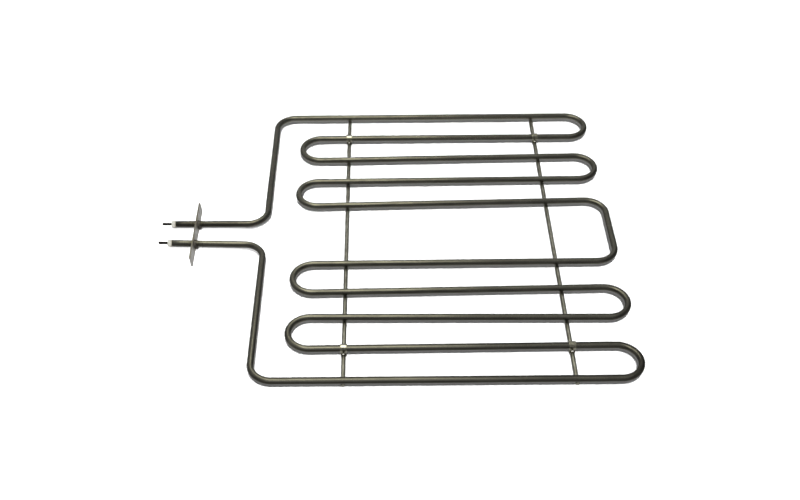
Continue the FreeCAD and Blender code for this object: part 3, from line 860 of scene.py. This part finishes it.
def applied(piece):
    """The piece with its modifiers worked into its mesh, and points that coincide joined."""
    graph = bpy.context.evaluated_depsgraph_get()
    mesh = bpy.data.meshes.new_from_object(piece.evaluated_get(graph))
    form = bmesh.new()
    form.from_mesh(mesh)
    bmesh.ops.remove_doubles(form, verts=form.verts, dist=0.005 * MM)
    bmesh.ops.dissolve_degenerate(form, edges=form.edges, dist=0.001 * MM)
    form.to_mesh(mesh)
    form.free()
    old = piece.data
    piece.modifiers.clear()
    piece.data = mesh
    bpy.data.meshes.remove(old)
    return piece


def dress(piece, material, slot, *nodes):
    """Give a piece its finish and its body, and hide the solids that it stands for."""
    piece.data.materials.clear()
    piece.data.materials.append(material)
    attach(piece, "root")
    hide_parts(*nodes)
    return piece


def finish_of(name, maker, *arguments):
    """A finish by its name, made only once."""
    return bpy.data.materials.get(name) or maker(name, *arguments)


# ---- the pieces ----


class ELEMENT_OT_sheath(bpy.types.Operator):
    """Build the bent sheath, hollow from end to end"""

    bl_idname = "element.sheath"
    bl_label = "Sheath"

    def execute(self, context):
        sizes = in_millimetres(context.scene.element_sizes)
        outer = tube_line(sizes, straight_step=7.0, bend_step=1.0)
        inner = tube_line(sizes, straight_step=28.0, bend_step=3.0)
        rings = []
        along = []
        # the outer skin, with the ends turned in slightly where they were cut
        for index, station in enumerate(outer):
            radius = sizes.tube_radius
            if index in (0, len(outer) - 1):
                radius -= sizes.cut_edge
            rings.append(tube_ring(station, radius, sizes, True))
            along.append(station.along * MM)
            if index in (0, len(outer) - 2):
                near, other = outer[:2] if index == 0 else outer[:-3:-1]
                part = sizes.cut_length / (other.point - near.point).length
                lip = Station(near.point.lerp(other.point, part), near.heading, near.along)
                rings.append(tube_ring(lip, sizes.tube_radius, sizes, True))
                along.append(near.along * MM)
        for station in reversed(inner):
            rings.append(tube_ring(station, sizes.bore_radius, sizes, False))
            along.append(station.along * MM)
        sheath = loft("sheath", rings, along, closed_rings=True)
        finish = finish_of("annealed sheath", sheath_finish, context.scene.element_finishes)
        dress(sheath, finish, "sheath_steel", "heating_tube")
        return {"FINISHED"}


class ELEMENT_OT_terminals(bpy.types.Operator):
    """Build the ceramic beads and the terminal pins"""

    bl_idname = "element.terminals"
    bl_label = "Beads and pins"

    def execute(self, context):
        sizes = in_millimetres(context.scene.element_sizes)
        colours = context.scene.element_finishes
        end = -sizes.tail_length
        head = end - sizes.bead_length
        tip = head - sizes.pin_showing
        bore = sizes.shank_radius + PIN_GAP
        spigot = sizes.bore_radius - SPIGOT_GAP
        face = end - BEAD_GAP
        ceramic = finish_of("fired ceramic", ceramic_finish, colours, end - 0.2)
        steel = finish_of("scaled pin steel", pin_finish, colours)
        bead_corners = (
            (head + 0.9, bore, 0.0),
            (head, bore, 0.25),
            (head, sizes.bead_radius - 0.25, 0.55),
            (head + 0.7, sizes.bead_radius, 0.5),
            (face, sizes.bead_radius, 0.35),
            (face, spigot, 0.1),
            (end + sizes.spigot_length, spigot, 0.3),
            (end + sizes.spigot_length, bore, 0.1),
            (head + 0.9, bore, 0.0),
        )
        pin_corners = (
            (tip, 0.0, 0.0),
            (tip, sizes.pin_radius - 0.35, 0.15),
            (tip + 0.4, sizes.pin_radius, 0.2),
            (head - 0.05, sizes.pin_radius, 0.0),
            (head, sizes.shank_radius, 0.0),
            (end + sizes.pin_inner_length, sizes.shank_radius, 0.0),
            (end + sizes.pin_inner_length, 0.0, 0.0),
        )
        for number, side in enumerate(LEGS):
            place = leg_frame(side, sizes)
            bead = lathe("bead_" + side, bead_corners, 48, wobble=0.012, matrix=place, seed=5.0 * number)
            dress(bead, ceramic, "ceramic", "ceramic_bead_" + side)
            pin = lathe("pin_" + side, pin_corners, 32, wobble=0.01, matrix=place, seed=9.0 * number)
            dress(pin, steel, "pin_steel", "terminal_pin_" + side)
        return {"FINISHED"}


class ELEMENT_OT_plate(bpy.types.Operator):
    """Build the leaning mounting plate with its two leg holes"""

    bl_idname = "element.plate"
    bl_label = "Mounting plate"

    def execute(self, context):
        sizes = in_millimetres(context.scene.element_sizes)
        corner = sizes.plate_corner
        outline = []
        for quarter, (across, up) in enumerate(((1, 1), (-1, 1), (-1, -1), (1, -1))):
            y = across * (sizes.plate_length / 2 - corner)
            z = up * (sizes.plate_height / 2 - corner)
            for step in range(7):
                turn = math.radians(90 * quarter + 15 * step)
                outline.append((y + corner * math.cos(turn), z + corner * math.sin(turn)))
        form = bmesh.new()
        face = form.faces.new([form.verts.new(Vector((0.0, y, z)) * MM) for y, z in outline])
        raised = bmesh.ops.extrude_face_region(form, geom=[face])
        moved = [item for item in raised["geom"] if isinstance(item, bmesh.types.BMVert)]
        bmesh.ops.translate(form, vec=Vector((sizes.plate_thickness * MM, 0.0, 0.0)), verts=moved)
        bmesh.ops.recalc_face_normals(form, faces=form.faces)
        lean = Matrix.Rotation(-sizes.plate_lean, 4, "Y")
        bmesh.ops.transform(form, matrix=lean, verts=form.verts)
        plate = finished_mesh("plate", form)
        radius = sizes.tube_radius + LEG_HOLE_GAP
        corners = ((-12.0, 0.0, 0.0), (-12.0, radius, 0.0), (12.0, radius, 0.0), (12.0, 0.0, 0.0))
        for side in LEGS:
            drill = lathe("drill", corners, 64, matrix=leg_frame(side, sizes))
            cut = plate.modifiers.new("hole_" + side, "BOOLEAN")
            cut.operation = "DIFFERENCE"
            cut.solver = "EXACT"
            cut.object = drill
            applied(plate)
            bpy.data.objects.remove(drill)
        with_worn_edges(plate, sizes.plate_edge).segments = 3
        applied(plate)
        shade(plate.data, 25)
        finish = finish_of("rolled plate sheet", plate_finish, context.scene.element_finishes)
        dress(plate, finish, "plate_steel", "mounting_plate")
        return {"FINISHED"}


class ELEMENT_OT_braze(bpy.types.Operator):
    """Build the collars of braze that ran round the legs"""

    bl_idname = "element.braze"
    bl_label = "Braze collars"

    def execute(self, context):
        sizes = in_millimetres(context.scene.element_sizes)
        finish = finish_of("scorched braze", braze_finish, context.scene.element_finishes)
        along = [step * 0.5 * MM for step in range(len(BRAZE_PROFILE))]
        for number, side in enumerate(LEGS):
            rings = [self.ring(sizes, part, height, 4.0 * number + 1.0) for part, height in BRAZE_PROFILE]
            collar = loft("braze_" + side, rings, along, closed_rings=True, matrix=leg_frame(side, sizes))
            dress(collar, finish, "braze", "braze_collar_" + side)
        return {"FINISHED"}

    def ring(self, sizes, part, height, seed, count=56):
        """One ring of a collar, at a place and a height of its profile."""
        hug = sizes.tube_radius + BRAZE_GAP
        ring = []
        for out in (spoke(number, count) for number in range(count)):
            sample = Vector((out.y * 1.7, out.z * 1.7, seed))
            lump = 1.0 + 0.35 * noise.noise(sample) + 0.14 * noise.noise(sample * 3.1)
            # it ran down the leg and hangs below it
            low = smooth(0.5 - 0.5 * out.z)
            size = min(1.0, (0.10 + 0.90 * low) * lump)
            radius = hug + (0.3 if part < 0.0 else sizes.braze_height * size) * height
            face = sizes.plate_thickness - math.tan(sizes.plate_lean) * radius * out.z
            reach = sizes.braze_length * (0.25 + 0.45 * low + 0.25 * lump)
            x = face + part * reach if part >= 0.0 else face + part
            ring.append(Vector((x, radius * out.y, radius * out.z)) * MM)
        return ring


class ELEMENT_OT_rods(bpy.types.Operator):
    """Build the two cross rods under the runs"""

    bl_idname = "element.rods"
    bl_label = "Cross rods"

    def execute(self, context):
        sizes = in_millimetres(context.scene.element_sizes)
        finish = finish_of("drawn rod wire", rod_finish, context.scene.element_finishes)
        radius, chamfer = sizes.rod_radius, sizes.rod_chamfer
        height = -(sizes.tube_radius + sizes.rod_gap + radius)
        ends = ((0.0, 0.0, 0.0), (0.0, radius - chamfer, 0.12), (chamfer, radius, 0.15))
        count = 60
        for name, x in ROD_PLACES.items():
            high = run_y(END_RUNS["left"], x, sizes) + sizes.rod_overhang
            low = run_y(END_RUNS["right"], x, sizes) - sizes.rod_overhang
            half = (high - low) / 2
            spacing = 2 * (half - chamfer) / count
            corners = [(inset - half, reach, rounding) for inset, reach, rounding in ends]
            corners += [(chamfer - half + spacing * step, radius, 0.0) for step in range(1, count)]
            corners += [(half - inset, reach, rounding) for inset, reach, rounding in reversed(ends)]
            place = Matrix.Translation(Vector((x, (high + low) / 2, height)) * MM)
            rod = lathe("rod_" + name, corners, 32, matrix=place @ Matrix.Rotation(math.pi / 2, 4, "Z"))
            dress(rod, finish, "rod_steel", "cross_rod_" + name)
        return {"FINISHED"}


def strap_line(sizes):
    """Half of a clip's middle line, from the tube's top to the end of a tab, and the tab's height.

    Each point is y, z and the slope there.
    """
    half = sizes.clip_thickness / 2
    over = sizes.tube_radius + sizes.clip_clearance + half
    tab = sizes.clip_clearance + half - sizes.tube_radius - sizes.rod_gap
    ramp = sizes.clip_ramp_angle
    fillet = sizes.clip_fillet
    line = []
    for step in range(11):
        turn = ramp * step / 10
        line.append((over * math.sin(turn), over * math.cos(turn), turn))
    # down the skirt to the start of the fillet, then round it on to the rod
    foot = (over - tab * math.cos(ramp)) / math.sin(ramp)
    cut = fillet * math.tan(ramp / 2)
    start = Vector((foot - cut * math.cos(ramp), tab + cut * math.sin(ramp)))
    leave = Vector(line[-1][:2])
    for step in range(1, 6):
        point = leave.lerp(start, step / 5)
        line.append((point.x, point.y, ramp))
    centre = Vector((foot + cut, tab + fillet))
    for step in range(1, 9):
        turn = ramp * (1 - step / 8)
        line.append((centre.x - fillet * math.sin(turn), centre.y - fillet * math.cos(turn), turn))
    for step in range(1, 5):
        line.append((centre.x + (sizes.clip_reach - centre.x) * step / 4, tab, 0.0))
    return line, tab


def make_clip(name, x, y, sizes, seed):
    """One strap clip: flat over the tube, curled to the rod at both ends."""
    line, tab = strap_line(sizes)
    whole = [(-py, pz, -slope) for py, pz, slope in reversed(line[1:])] + line
    curl_radius = sizes.rod_radius + sizes.clip_clearance + sizes.clip_thickness / 2
    top = sizes.tube_radius * 0.35
    columns = 16
    form = bmesh.new()
    uv = form.loops.layers.uv.new("across_and_along")
    rows = []
    places = {}
    for py, pz, slope in whole:
        curl = smooth(min(1.0, max(0.0, (top - pz) / (top - tab))))
        normal = Vector((0.0, math.sin(slope), math.cos(slope)))
        row = []
        for column in range(columns + 1):
            across = sizes.clip_width * (column / columns - 0.5)
            side, drop = across, 0.0
            if curl > 1e-3:
                radius = curl_radius / curl
                side = radius * math.sin(across / radius)
                drop = radius * (1.0 - math.cos(across / radius))
            # struck by hand: the edges aren't quite even
            uneven = 0.025 * noise.noise(Vector((py * 0.5 + seed, across * 0.4, 1.0)))
            point = Vector((x + side, y + py, pz)) + normal * (uneven - drop)
            corner = form.verts.new(point * MM)
            places[corner] = (across * MM, py * MM)
            row.append(corner)
        rows.append(row)
    for before, after in zip(rows[:-1], rows[1:]):
        for column in range(columns):
            face = form.faces.new((before[column], before[column + 1], after[column + 1], after[column]))
            for corner in face.loops:
                corner[uv].uv = places[corner.vert]
    bmesh.ops.recalc_face_normals(form, faces=form.faces)
    clip = finished_mesh(name, form)
    sheet = clip.modifiers.new("sheet", "SOLIDIFY")
    sheet.thickness = sizes.clip_thickness * MM
    sheet.offset = 0.0
    sheet.use_even_offset = True
    with_worn_edges(clip, sizes.clip_edge).segments = 2
    applied(clip)
    shade(clip.data, 40)
    return clip


class ELEMENT_OT_clips(bpy.types.Operator):
    """Build the four strap clips that hold the runs to the rods"""

    bl_idname = "element.clips"
    bl_label = "Strap clips"

    def execute(self, context):
        sizes = in_millimetres(context.scene.element_sizes)
        colours = context.scene.element_finishes
        finish = finish_of("rolled strap strip", strap_finish, colours, sizes.clip_weld_place)
        for number, (end, x) in enumerate(ROD_PLACES.items()):
            for side, run in CLIP_RUNS.items():
                name = "%s_%s" % (end, side)
                clip = make_clip("clip_" + name, x, run_y(run, x, sizes), sizes, 3.0 * number + run)
                dress(clip, finish, "clip_steel", "strap_clip_" + name)
        return {"FINISHED"}


class ELEMENT_OT_inside(bpy.types.Operator):
    """Give the hidden solids inside the tube their finishes"""

    bl_idname = "element.inside"
    bl_label = "Inside of the tube"

    def execute(self, context):
        colours = context.scene.element_finishes
        powder = finish_of("packed magnesia", powder_finish, colours.magnesia, 900.0, 0.9)
        seal = finish_of("sealing compound", powder_finish, colours.seal, 600.0, 0.6)
        coil = finish_of("wound coil", coil_finish, colours)
        finishes = {
            "magnesia_filling": powder,
            "resistance_coil": coil,
            "end_seal_left": seal,
            "end_seal_right": seal,
        }
        for name, material in finishes.items():
            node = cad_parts[name]
            node.data.materials.clear()
            node.data.materials.append(material)
        return {"FINISHED"}


# ---- the stage ----


def tent(studio):
    """The light tent: dark on the camera's side, bright overhead, and a soft floor bounce."""
    world = bpy.data.worlds.new("tent")
    world.use_nodes = True
    room = Tree(world.node_tree)
    where = room.node("TexCoord")
    parts = room.node("SeparateXYZ", {}, {0: where.link("Generated")})
    x, y, z = (parts.value(name) for name in "XYZ")
    swing = y / (y * y + z * z + 1e-6) ** 0.5 * 0.5 + 0.5
    above = room.node("ValToRGB", {"stops": TENT_STOPS}, {0: swing}).value(0)
    # darker to the sides, less so behind the terminals
    sides = 1.0 - abs(x).step(0.25, 0.8) * (0.8 - x.fall(-0.1, 0.1) * 0.35)
    below = abs(z).step(-0.35, 1.15) * studio.bounce
    is_below = z.fall(-0.02, 0.02)
    level = above * sides * studio.room_light * (1.0 - is_below) + below * is_below
    light = room.node("Background", {}, {"Strength": level, "Color": (1.0, 0.995, 0.97, 1.0)})
    room.node("OutputWorld", {}, {"Surface": light.link(0)})
    # the metal mirrors the tent, and the lamps light the floor
    world.cycles_visibility.diffuse = False
    return world


def add_lamp(scene, kind, name, power, **settings):
    """Add a lamp that shines down and that the metal doesn't mirror."""
    lamp = bpy.data.lights.new(name, kind)
    lamp.energy = power
    for setting, value in settings.items():
        setattr(lamp, setting, value)
    made = bpy.data.objects.new(name, lamp)
    made.visible_glossy = False
    scene.collection.objects.link(made)
    return made


def add_camera(scene, studio):
    """Add the camera and look through it."""
    lens = bpy.data.cameras.new("camera")
    lens.sensor_fit = "HORIZONTAL"
    lens.sensor_width = 36.0
    lens.lens = studio.lens
    lens.clip_start = 0.01
    lens.clip_end = 100.0
    camera = bpy.data.objects.new("camera", lens)
    turn = Matrix.Rotation(studio.yaw, 4, "Z")
    tilt = Matrix.Rotation(math.pi / 2 - studio.pitch, 4, "X")
    roll = Matrix.Rotation(studio.roll, 4, "Z")
    camera.matrix_world = Matrix.Translation(CAMERA_PLACE) @ turn @ tilt @ roll
    scene.collection.objects.link(camera)
    scene.camera = camera


class ELEMENT_OT_stage(bpy.types.Operator):
    """Set the floor, the backdrop, the soft light and the camera"""

    bl_idname = "element.stage"
    bl_label = "Floor, light and camera"

    def execute(self, context):
        scene = context.scene
        studio = scene.element_studio
        form = bmesh.new()
        bmesh.ops.create_grid(form, x_segments=8, y_segments=8, size=30.0)
        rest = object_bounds()[0][2]
        bmesh.ops.translate(form, vec=Vector((0.2, 0.0, rest)), verts=form.verts)
        floor = finished_mesh("floor", form)
        floor.data.materials.append(finish_of("floor board", floor_finish, studio.floor_white))
        floor.visible_glossy = False
        floor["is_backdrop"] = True

        # pale paper all round, which only the camera sees: the metal mirrors the tent outside it
        form = bmesh.new()
        bmesh.ops.create_uvsphere(form, u_segments=48, v_segments=24, radius=25.0)
        backdrop = finished_mesh("backdrop", form)
        backdrop.data.materials.append(finish_of("backdrop paper", backdrop_finish))
        for rays in ("diffuse", "glossy", "transmission", "shadow"):
            setattr(backdrop, "visible_" + rays, False)
        backdrop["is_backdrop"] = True

        scene.world = tent(studio)
        strip = add_lamp(
            scene, "AREA", "strip", studio.strip_power,
            shape="RECTANGLE", size=0.44, size_y=0.95, color=(1.0, 0.98, 0.78),
        )
        strip.location = (0.06, 0.08, 0.75)
        strip.visible_glossy = True
        strip.visible_diffuse = False
        # the floor's own light, from over the camera, so that shadows stay under the tube
        sun = add_lamp(scene, "SUN", "floor_light", studio.floor_light, angle=math.radians(8.0))
        sun.rotation_euler = (studio.floor_light_tilt, math.radians(1.5), 0.0)
        # a lower one on the floor round the legs only, where the shadow is thinner
        clear = add_lamp(
            scene, "SPOT", "leg_light", studio.leg_light,
            spot_size=math.radians(6.6), spot_blend=0.5, shadow_soft_size=0.04,
        )
        clear.location = (0.0, -0.93, 1.0)
        aim = Vector((0.002, 0.0, rest)) - clear.location
        clear.rotation_euler = aim.to_track_quat("-Z", "Y").to_euler()
        lit = bpy.data.collections.new("lit by the leg light")
        lit.objects.link(floor)
        clear.light_linking.receiver_collection = lit
        # and a faint one from all round, which alone reaches into the shadows
        add_lamp(scene, "SUN", "shadow_light", studio.shadow_light, angle=math.radians(150.0))

        add_camera(scene, studio)
        scene.view_settings.view_transform = "Standard"
        scene.view_settings.look = "None"
        scene.view_settings.exposure = studio.exposure
        return {"FINISHED"}


class ELEMENT_PT_panel(bpy.types.Panel):
    """The element's operators and settings in the sidebar"""

    bl_idname = "ELEMENT_PT_panel"
    bl_label = "Heating Element"
    bl_space_type = "VIEW_3D"
    bl_region_type = "UI"
    bl_category = "Heating Element"

    def draw(self, context):
        for operator in OPERATORS:
            self.layout.operator(operator.bl_idname)
        for name, _ in GROUPS:
            group = getattr(context.scene, name)
            box = self.layout.box()
            for setting in settings_of(group):
                box.prop(group, setting)


OPERATORS = (
    ELEMENT_OT_sheath,
    ELEMENT_OT_terminals,
    ELEMENT_OT_plate,
    ELEMENT_OT_braze,
    ELEMENT_OT_rods,
    ELEMENT_OT_clips,
    ELEMENT_OT_inside,
    ELEMENT_OT_stage,
)
GROUPS = (
    ("element_sizes", ElementSizes),
    ("element_finishes", ElementFinishes),
    ("element_studio", StudioSettings),
)


def register():
    """Add the settings, the operators and the panel to the program."""
    for name, group in GROUPS:
        bpy.utils.register_class(group)
        setattr(bpy.types.Scene, name, PointerProperty(type=group))
    for operator in OPERATORS:
        bpy.utils.register_class(operator)
    bpy.utils.register_class(ELEMENT_PT_panel)


def unregister():
    """Take them out again."""
    bpy.utils.unregister_class(ELEMENT_PT_panel)
    for operator in reversed(OPERATORS):
        bpy.utils.unregister_class(operator)
    for name, group in reversed(GROUPS):
        delattr(bpy.types.Scene, name)
        bpy.utils.unregister_class(group)


def main():
    """Build every piece in order."""
    register()
    for operator in OPERATORS:
        family, name = operator.bl_idname.split(".")
        getattr(getattr(bpy.ops, family), name)()


if __name__ == "__main__":
    main()
